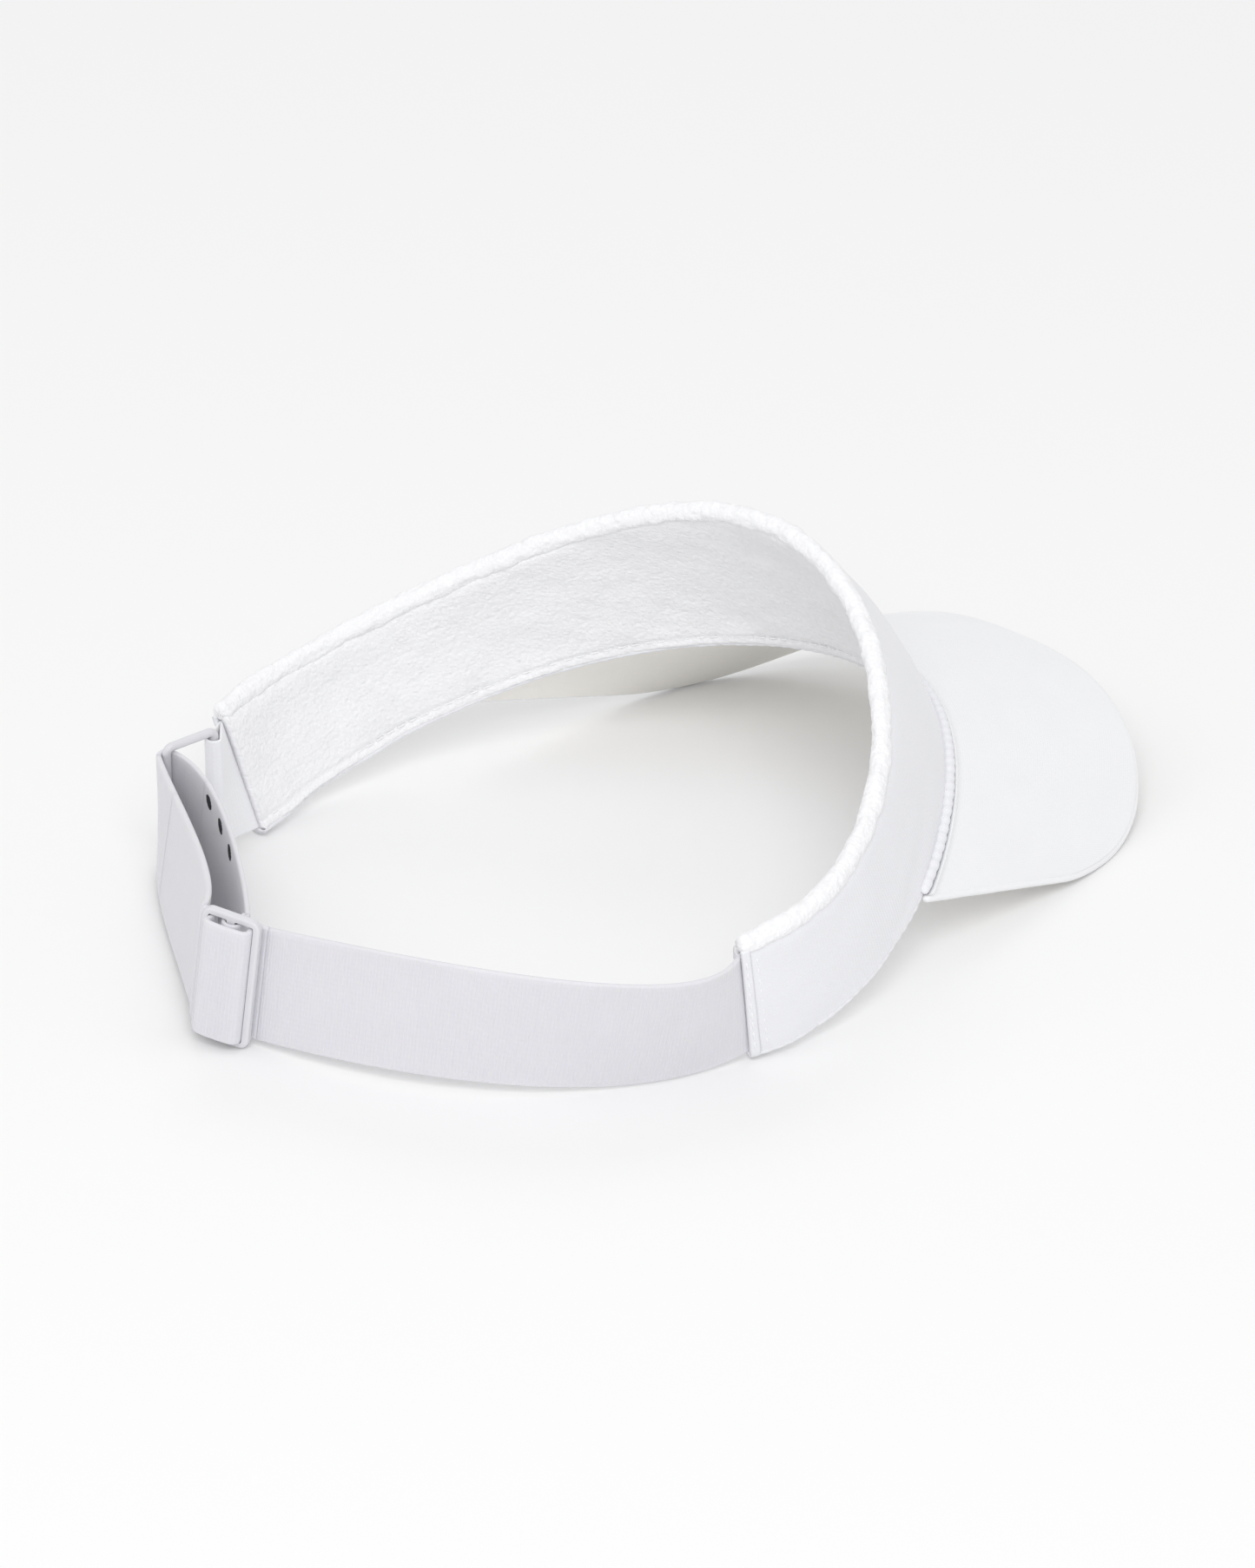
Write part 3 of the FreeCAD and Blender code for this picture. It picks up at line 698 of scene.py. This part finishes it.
def terry_relief(u, climb, height, share, face):
    """Towelling on the inner face, drawn in along the hem stitches and rumpled near the ends."""
    x = crown_along(u)
    ends = smooth_step((np.abs(u) - 0.72) / 0.28)
    rumple = (0.5 + 0.4 * ends) * value_noise(x / 13, climb / 11, 21)
    rumple = rumple + 0.24 * value_noise(x / 5, climb / 5, 22)
    tufts = 0.34 * loops_relief(x / 1.35, climb / 1.25, 23)
    groove = 0.42 * np.exp(-(((climb - HEM_ROW_HEIGHT) / 0.9) ** 2))
    inward = np.where(face < 0, -(tufts + rumple + 0.1) + groove, 0.0)
    top = np.maximum(height - CLOTH_TOP_GAP - climb, 0)
    under_roll = np.where(face < 0, 0.75 * np.exp(-((top / 1.7) ** 2)), 0.0)
    return inward * edge_fade(share, 0.03) + under_roll


def flat_relief(u, climb, height, share, face):
    return 0.08 * value_noise(crown_along(u) / 14, climb / 14, 31)


def hem_relief(u, climb, height, share, face):
    x = crown_along(u)
    return np.where(face > 0, 0.08 * value_noise(climb / 2.4, x / 2, 32), 0.0)


def tube_piece(name, points, radius, sides, squash=None):
    """Round roll along points, with radius as an array (rows, sides). squash moves its points."""
    ahead = unit(np.gradient(points, axis=0))
    up = np.array([0.0, 0.0, 1.0])
    side = unit(np.cross(ahead, up))
    top = np.cross(side, ahead)
    a = np.linspace(0, FULL_TURN, sides, endpoint=False)
    ring = side[:, None] * np.cos(a)[None, :, None] + top[:, None] * np.sin(a)[None, :, None]
    skin = points[:, None] + ring * radius[..., None]
    if squash:
        skin = squash(skin)
    along = arc_length(points)[:, None] + 0 * a[None]
    around = 0 * along + np.abs(a - math.pi)[None] * radius.mean()
    return swept(name, skin, np.stack([along, around], -1) * MM)


def round_end(radius, rows, reach):
    """Radii that close both ends of a roll like a finger tip."""
    k = np.arange(rows)
    tip = np.minimum(np.minimum(k, rows - 1 - k) / reach, 1.0)
    return radius * np.sqrt(np.clip(1 - (1 - tip) ** 2, 0.02, 1))[:, None]


def top_roll_piece():
    """Fluffy roll of towelling over the top edge."""
    line = even(crown_head(np.linspace(-1, 1, 900)), 0.42)
    rows, sides = len(line), 32
    along = arc_length(line)[:, None]
    around = np.linspace(0, FULL_TURN, sides, endpoint=False)[None] * ROLL_RADIUS
    ring = around / ROLL_RADIUS
    lumps = 0.12 * value_noise(along / 4.2, 3 + 1.6 * np.cos(ring), 41)
    lumps = lumps + 0.08 * value_noise(along / 2.1, 3 + 2.2 * np.sin(ring), 42)
    tufts = loops_relief(along / 1.3, around / 1.256, 43)
    radius = round_end(ROLL_RADIUS, rows, 5) * (0.94 + lumps) + 0.42 * tufts - 0.12
    return tube_piece("top_roll_terry", line, radius, sides)


def binding_piece():
    """Folded tape along the lower edge, with a pucker at each stitch."""
    rows = 820
    u = np.linspace(-1, 1, rows)[:, None]
    outline = [(-1.0, 1.0), (-1.0, 0.62), (-0.92, 0.36), (-0.66, 0.13), (-0.3, 0.02), (0.3, 0.02)]
    outline += [(0.66, 0.13), (0.92, 0.36), (1.0, 0.62), (1.0, 1.0), (0.72, 1.12), (-0.72, 1.12)]
    shape = np.array(outline)
    x = crown_along(u)
    pucker = 0.05 * np.sin(FULL_TURN * x / STITCH_PITCH) + 0.07 * value_noise(x / 4, x * 0, 51)
    depth = BINDING_HALF * 0.98 * shape[None, :, 0] * (1 + pucker)
    climb = BINDING_HEIGHT * shape[None, :, 1] * (1 + 0.6 * pucker)
    points = panel_point(u, climb, depth)
    along = np.interp(u, np.linspace(-1, 1, 200), arc_length(crown_foot(np.linspace(-1, 1, 200))))
    around = np.linspace(0, 6.0, len(shape))[None] + 0 * along
    return swept("bottom_binding_tape", points, np.stack([along + 0 * around, around], -1) * MM)


def stitches(name, rows, lift):
    """Arched stitches. rows holds (start, end, outward) for each; one closed tube apiece."""
    sides, steps = 8, 9
    starts, ends, outs = (np.array([row[k] for row in rows]) for k in range(3))
    t = np.linspace(0, 1, steps)
    arch = np.sin(t * math.pi) ** 0.6
    middle = starts[:, None] + (ends - starts)[:, None] * t[None, :, None]
    middle = middle + outs[:, None] * ((arch - 1) * lift)[None, :, None]
    ahead = unit(ends - starts)
    side = unit(np.cross(ahead, outs))
    a = np.linspace(0, FULL_TURN, sides, endpoint=False)
    radius = THREAD_RADIUS * (0.55 + 0.45 * np.sin(t * math.pi) ** 0.5)
    twist = 1 + 0.10 * np.cos(2 * (a[None, :] - t[:, None] * 9.0))
    cos, sin = (wave(a)[None, None, :, None] for wave in (np.cos, np.sin))
    ring = side[:, None, None] * cos + outs[:, None, None] * sin
    skin = middle[:, :, None] + ring * (radius[:, None] * twist)[None, :, :, None]
    verts, faces, uvs = [], [], []
    one = strip_faces(steps, sides)
    for k, tube in enumerate(skin):
        base = k * steps * sides
        verts.append(tube.reshape(-1, 3))
        faces += [[base + v for v in face] for face in one]
        grid = np.stack(np.meshgrid(t * STITCH_LENGTH, a * THREAD_RADIUS, indexing="ij"), -1)
        uvs.append(grid.reshape(-1, 2) * MM)
    return turned_outward(new_object(name, np.concatenate(verts), faces, np.concatenate(uvs)))


def hem_stitch_piece():
    length = arc_length(crown_foot(np.linspace(-1, 1, 81)))[-1]
    count = int(length / STITCH_PITCH)
    stitch = 2 * STITCH_LENGTH / STITCH_PITCH / count
    rows = []
    for k in range(1, count - 1):
        u = -1 + 2 * k / count
        depth = TERRY[0] + 0.10
        a, b = (panel_point(v, HEM_ROW_HEIGHT, depth - THREAD_RADIUS) for v in (u, u + stitch))
        rows.append((a, b, -panel_frame(np.array(u))[3]))
    return stitches("hem_stitch_row", rows, 0.25)


def end_stitch_piece(name, side):
    rows = []
    for inset, cloth in END_ROWS:
        u = side * (1 - inset)
        depth = cloth + THREAD_RADIUS * 0.45
        top = panel_frame(np.array(u))[2][0] - LAYER_TOP_GAP
        climb = LAYER_LOW + STITCH_PITCH / 2
        while climb + STITCH_LENGTH < top:
            a, b = (panel_point(u, c, depth) for c in (climb, climb + STITCH_LENGTH))
            rows.append((a, b, panel_frame(np.array(u))[3]))
            climb += STITCH_PITCH
    return stitches(name, rows, 0.3)


shell = band_piece("crown_cover", SHELL, (-1 + END_HEM, 1 - END_HEM), 0.85, shell_relief, count=52)
dress(shell, "crown_fabric", "crown", "crown_shell")
lining = band_piece("terry_lining", TERRY, (-1, 1), 0.62, terry_relief, count=86)
dress(lining, "terry", "crown", "sweatband_terry")
span = (-INTERLINING_END, INTERLINING_END)
stiffener = band_piece("interlining_sheet", POCKET, span, 3.0, flat_relief, count=16)
dress(stiffener, "interlining", "crown", "crown_interlining")
roll = dress(top_roll_piece(), "terry", "crown", "top_roll")
dress(binding_piece(), "crown_fabric", "crown", "bottom_binding")
for name, side in (("right", -1), ("left", 1)):
    inner = side * (1 - END_HEM + HEM_CLEARANCE)
    span = (min(inner, side), max(inner, side))
    depths = (SHELL[0], SHELL[1] + HEM_FOLD)
    hem = band_piece(f"end_hem_fold_{name}", depths, span, 0.25, hem_relief, count=60)
    dress(hem, "crown_fabric", "crown", f"end_hem_{name}")
    dress(end_stitch_piece(f"end_stitch_rows_{name}", side), "thread", "crown", f"end_stitches_{name}")
dress(hem_stitch_piece(), "thread", "crown", "hem_stitches")

# ---------------------------------------------------------------- brim


def brim_sheet(name, low, high, relief):
    """One cloth layer of the brim, from the crown seam to the rolled rim."""
    rows, count = 190, 84
    s = CLOTH_SPREAD * np.sin(np.linspace(-1, 1, rows) * math.pi / 2)[:, None]
    run = brim_base(s, 1.0) - brim_base(s, 0.0)
    length = np.linalg.norm(run, axis=-1)
    edge = brim_base(s + 0.01, 1.0) - brim_base(s - 0.01, 1.0)
    slant = np.linalg.norm(np.cross(run, edge), axis=-1) / (length * np.linalg.norm(edge, axis=-1))
    width = length - EDGE_REACH / slant
    across, out = profile(low, high, width, count, 2)
    w = across / length
    share = across / width
    shown = np.where(out > (low + high) / 2, 1, 0 if low > 0 else 1)
    lift = out + relief(s, across, share) * shown
    over_edge = SIDE_DROP * np.maximum((np.abs(s) - CLOTH_SPREAD) / SIDE_DROP_REACH + 1, 0) ** 2
    lift = lift - np.sign(low) * over_edge
    points = brim_base(s, w) + brim_up(s) * lift[..., None]
    along = arc_length(brim_base(s[:, 0], 0.6))[:, None]
    return swept(name, points, np.stack([along + 0 * across, across], -1) * MM)


def brim_top_relief(s, across, share):
    """Cloth stretched over the board: faint ripples, and small gathers where it meets the crown."""
    x = s * BRIM_HALF_LENGTH
    ripple = 0.10 * value_noise(x / 17 + 3, across / 21, 61) + 0.04 * value_noise(x / 6, across / 7, 62)
    gathers = 0.10 * np.exp(-across / 4.0) * value_noise(x / 1.8, across / 6, 63)
    turned_up = 1.45 * np.exp(-((across / 1.6) ** 2))
    return (ripple + gathers) * edge_fade(share, 0.03) + turned_up


def brim_under_relief(s, across, share):
    x = s * BRIM_HALF_LENGTH
    return -0.08 * np.abs(value_noise(x / 15, across / 18, 64)) * edge_fade(share, 0.03)


def rim_roll_piece():
    """Turned edge of the cover, round the rim and back along both sides; flat where it stands."""
    side = brim_base(-1.0, np.linspace(SIDE_ROLL_START, SIDE_ROLL_END, 60))
    front = brim_base(np.linspace(-1, 1, 900), 1.0)
    other = brim_base(1.0, np.linspace(SIDE_ROLL_END, SIDE_ROLL_START, 60))
    line = even(np.concatenate([side, front, other]), 0.55)
    along = arc_length(line)[:, None]
    sides = 20
    a = np.linspace(0, FULL_TURN, sides, endpoint=False)[None]
    uneven = 0.05 * value_noise(along / 5, 2 + np.sin(a) * 1.5, 71)
    uneven = uneven + 0.02 * np.sin(FULL_TURN * along / 2.6)
    radius = round_end(RIM_RADIUS, len(line), 3) * (0.84 + uneven)

    def on_table(skin):
        skin[..., 2] = np.maximum(skin[..., 2], 0.02)
        return skin

    return tube_piece("brim_edge_roll", line, radius, sides, on_table)


def welt_piece():
    """Piped seam between the brim and the crown, nipped in at each stitch."""
    s = np.linspace(-1.0, 1.0, 700)
    u = BRIM_SWEEP / FOOT_SWEEP * s
    line = even(panel_point(u, *WELT_CENTRE), 0.4)
    along = arc_length(line)[:, None]
    sides = 14
    a = np.linspace(0, FULL_TURN, sides, endpoint=False)[None]
    nip = 0.07 * np.cos(FULL_TURN * along / STITCH_PITCH)
    nip = nip + 0.05 * value_noise(along / 3, 2 + np.cos(a), 72)
    radius = round_end(WELT_RADIUS, len(line), 4) * (0.95 + nip)
    return tube_piece("crown_seam_welt", line, radius, sides)


ply_low = BRIM_CORE / 2 + PLY_GAP
brim_top = brim_sheet("brim_top_cloth", ply_low, ply_low + PLY, brim_top_relief)
dress(brim_top, "brim_fabric", "crown", "brim_top_fabric")
brim_under = brim_sheet("brim_under_cloth", -ply_low - PLY, -ply_low, brim_under_relief)
dress(brim_under, "brim_lining", "crown", "brim_under_fabric")
dress(rim_roll_piece(), "brim_fabric", "crown", "brim_rim_roll")
dress(welt_piece(), "crown_fabric", "crown", "brim_seam_welt")

# ---------------------------------------------------------------- strap


def webbing(name, rungs, thickness=STRAP_THICKNESS, rib=RIB_HEIGHT, start=0.0, wave=0.0, seed=80):
    """Elastic through rungs (rows, 2, 3): crosswise ribs, firmer selvedges and rounded edges."""
    rungs = even(np.asarray(rungs, float), STRAP_ROW)
    low, high = rungs[:, 0], rungs[:, 1]
    along = arc_length(rungs.mean(1))[:, None] + start
    across, out = profile(-thickness / 2, thickness / 2, STRAP_WIDTH, 22, 4)
    across, out = across[0][None], out[0][None]
    share = across / STRAP_WIDTH
    base = low[:, None] + (high - low)[:, None] * share[..., None]
    ahead = np.gradient(base, axis=0)
    normal = unit(np.cross(ahead, (high - low)[:, None]))
    firm = smooth_step(np.minimum(across, STRAP_WIDTH - across) / SELVEDGE)
    ribs = rib * firm * np.cos(FULL_TURN * along / RIB_PITCH)
    calm = smooth_step(np.minimum(along - along[0], along[-1] - along) / CALM_END)
    sway = wave * firm * calm * value_noise(along / 15 + seed, across / 14, seed)
    ribs = np.sign(out) * ribs * (np.abs(out) > thickness * 0.3)
    points = base + normal * (out + ribs + sway)[..., None]
    obj = swept(name, points, np.stack([along + 0 * across, across + 0 * along], -1) * MM)
    obj.data.set_sharp_from_angle(angle=math.radians(60))
    return obj


def on_lines(lines, t_from, t_to, count=240):
    t = np.linspace(t_from, t_to, count)
    return np.stack([bezier(lines[0], t), bezier(lines[1], t)], 1)


def near_rungs():
    hidden = np.stack(pocket_rung(np.linspace(-1 + POCKET_REACH, -1.0, 12)), 1)
    return np.concatenate([hidden[:-1], on_lines(near_lines(), 0, 1, 400)])


def fold_rungs():
    """The strap weaves under, over and under the slider's bars."""
    reach = SLIDER_WIDTH / 2 + FOLD_END + FOLD_OVERLAP
    x, y = np.array([(-reach, FOLD_UNDER), *FOLD_LINE, (reach, FOLD_UNDER)]).T
    return through(np.stack(rung(SLIDER, x, y), 1), 8)


def end_loop_rungs():
    """Sewn end of the strap: out to the slider's middle bar, round it, and back beside itself."""
    radius = math.hypot(SLIDER_MID_BAR, SLIDER_THICKNESS) / 2 + END_LOOP_GAP + END_LOOP_TAPE / 2
    turn = np.radians(np.linspace(218.0, -68.0, 24))
    middle, end = INNER_START[0], INNER_START[1] + END_TAIL_GAP
    plies = [middle - END_LOOP_TAPE * 0.51, middle + END_LOOP_TAPE * 0.51]
    x = np.concatenate([[plies[0]] * 3, radius * np.cos(turn), [plies[1]] * 2])
    y = np.concatenate([[end, -3.6, -2.5], radius * np.sin(turn), [-3.3, end]])
    return through(np.stack(rung(SLIDER, x, y), 1), 8)


def ring_loop_rungs():
    """The turn round the ring's rear bar, from the outer layer to the inner one."""
    outer = np.stack(round_rear_bar(OUTER_LEAVES, np.linspace(1, 0.3, 40)), 1)
    inner = np.stack(round_rear_bar(INNER_LEAVES, [1.0]), 1)
    return np.concatenate([outer, inner])


def tab_rungs():
    """Folded tape: out of the band on the outside, round the ring's front bar and back inside."""
    radius = RING_BAR_RADIUS + TAB_CLEARANCE + TAB_TAPE / 2
    apart = TAB_TAPE / 2 + TAB_PLY_GAP
    reach = np.linspace(1 - POCKET_REACH, 1.0, 5)
    pocket = np.stack(pocket_rung(reach), 1)
    out = panel_frame(reach)[3][:, None] * apart
    turn = np.radians(np.linspace(-TAB_TURN, TAB_TURN, 33))
    loop = np.stack(rung(RING, radius * np.cos(turn) - RING_BAR_X, radius * np.sin(turn)), 1)
    return np.concatenate([pocket + out, loop, (pocket - out)[::-1]])


def bend(obj, slot, node):
    """A stretch of strap between the crown and a body, handed on to dress_between."""
    dress_between(obj, slot, node)


NEAR, OUTER, INNER = near_lines(), outer_lines(), inner_lines()

near = webbing("strap_near_elastic", near_rungs(), wave=0.25)
bend(near, "elastic", "strap_near_run")
fold = webbing("strap_fold_elastic", fold_rungs(), start=40.0)
dress(fold, "elastic", "slider", "strap_slider_fold")
end_loop = webbing("strap_end_elastic", end_loop_rungs(), END_LOOP_TAPE, 0.04)
dress(end_loop, "elastic", "slider", "strap_end_loop")
LAYERS = (("outer", OUTER, 0.0, 0.22, 83), ("inner", INNER, -0.01, 0.04, 85))
for layer, lines, begin, wave, seed in LAYERS:
    rungs = on_lines(lines, begin, LAYER_SPLIT)
    rear = webbing(f"strap_{layer}_rear_elastic", rungs, wave=wave, seed=seed)
    bend(rear, "elastic", f"strap_{layer}_rear")
    side = webbing(f"strap_{layer}_side_elastic", on_lines(lines, LAYER_SPLIT, 1.0))
    bend(side, "elastic", f"strap_{layer}_side")
ring_loop = webbing("strap_ring_elastic", ring_loop_rungs(), start=20.0)
dress(ring_loop, "elastic", "ring", "strap_ring_loop")
dress(webbing("ring_tab_tape", tab_rungs(), TAB_TAPE, 0.02), "tab_tape", "crown", "ring_tab")


def mark_piece(name, t):
    """A slanting printed dash that follows the strap's outer surface."""
    rows, columns = 7, 7
    b, a = np.meshgrid(np.linspace(0, 1, columns), np.linspace(-1, 1, rows))
    corner = 1 - 0.35 * np.abs(2 * b - 1) ** 6
    at = t + MARK_SLANT * b + MARK_WIDTH * a * corner
    low, high = bezier(INNER[0], at), bezier(INNER[1], at)
    climb = MARK_CLIMB + MARK_HEIGHT * (0.5 + (b - 0.5) * (1 - 0.25 * np.abs(a) ** 5))
    base = low + (high - low) * (climb / STRAP_WIDTH)[..., None]
    normal = unit(np.cross(high - low, np.gradient(base, axis=0)))
    normal = normal * np.where(normal[..., 1:2] < 0, -1, 1)
    top = base + normal * (STRAP_THICKNESS / 2 + 0.10)
    under = base + normal * (STRAP_THICKNESS / 2 - 0.05)
    ring = np.concatenate([top, under[:, ::-1]], 1)
    face = np.stack([a, b], -1) * MM
    return swept(name, ring, np.concatenate([face, face[:, ::-1]], 1))


for k, t in enumerate(MARK_PLACES, 1):
    mark = mark_piece(f"strap_dash_{k}", t)
    bend(mark, "printed_mark", f"size_mark_{k}")

# ---------------------------------------------------------------- CAD nodes that stay

SHOWN_NODES = {
    "slider_frame": "buckle_plastic",
    "ring_frame": "buckle_plastic",
    "brim_core": "brim_board",
}
for name, slot in SHOWN_NODES.items():
    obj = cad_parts[name]
    obj.data.materials.clear()
    obj.data.materials.append(MATERIALS[slot])
    obj.data.polygons.foreach_set("use_smooth", [True] * len(obj.data.polygons))

# ---------------------------------------------------------------- floor, light and camera

LIGHT_TARGET = (0.0, 0.0, 0.03)
CAMERA_TARGET = tuple((np.array([-2.659, -18.199, 30.0]) + FRAME_SHIFT) * MM)


def floor():
    mesh = bpy.data.meshes.new("floor")
    half = 6.0
    corners = [(-half, -half, 0), (half, -half, 0), (half, half, 0), (-half, half, 0)]
    mesh.from_pydata(corners, [], [(0, 1, 2, 3)])
    obj = bpy.data.objects.new("floor", mesh)
    bpy.context.scene.collection.objects.link(obj)
    s = Shader("studio_floor", (0.92, 0.92, 0.92), 0.9, specular=0.0)
    obj.data.materials.append(s.material)


def soft_light(name, place, size, power):
    data = bpy.data.lights.new(name, "AREA")
    data.shape = "DISK"
    data.size = size
    data.energy = power
    obj = bpy.data.objects.new(name, data)
    obj.location = place
    obj.rotation_euler = (Vector(LIGHT_TARGET) - Vector(place)).to_track_quat("-Z", "Y").to_euler()
    bpy.context.scene.collection.objects.link(obj)


def camera(target, azimuth, elevation, distance, lens):
    """Camera on a sphere round the target. Azimuth 0 looks along +Y."""
    a, e = math.radians(azimuth), math.radians(elevation)
    back = Vector((math.sin(a) * math.cos(e), -math.cos(a) * math.cos(e), math.sin(e)))
    data = bpy.data.cameras.new("camera")
    data.lens = lens
    data.sensor_fit = "VERTICAL"
    data.sensor_height = 36.0
    obj = bpy.data.objects.new("camera", data)
    obj.location = Vector(target) + back * distance
    obj.rotation_euler = (-back).to_track_quat("-Z", "Y").to_euler()
    bpy.context.scene.collection.objects.link(obj)
    bpy.context.scene.camera = obj


floor()
world = bpy.data.worlds.new("studio")
world.use_nodes = True
background = world.node_tree.nodes["Background"]
background.inputs["Color"].default_value = (1.0, 1.0, 1.0, 1.0)
background.inputs["Strength"].default_value = 0.685
bpy.context.scene.world = world
soft_light("key", (-1.7, 1.7, 2.2), 2.0, 44.5)
soft_light("fill", (1.7, 1.7, 2.2), 2.0, 4.2)
soft_light("back", (1.7, -1.7, 2.2), 2.0, 9.8)
bpy.context.scene.view_settings.view_transform = "Standard"

camera(CAMERA_TARGET, 225.129, 25.733, 2.244, 214.8)
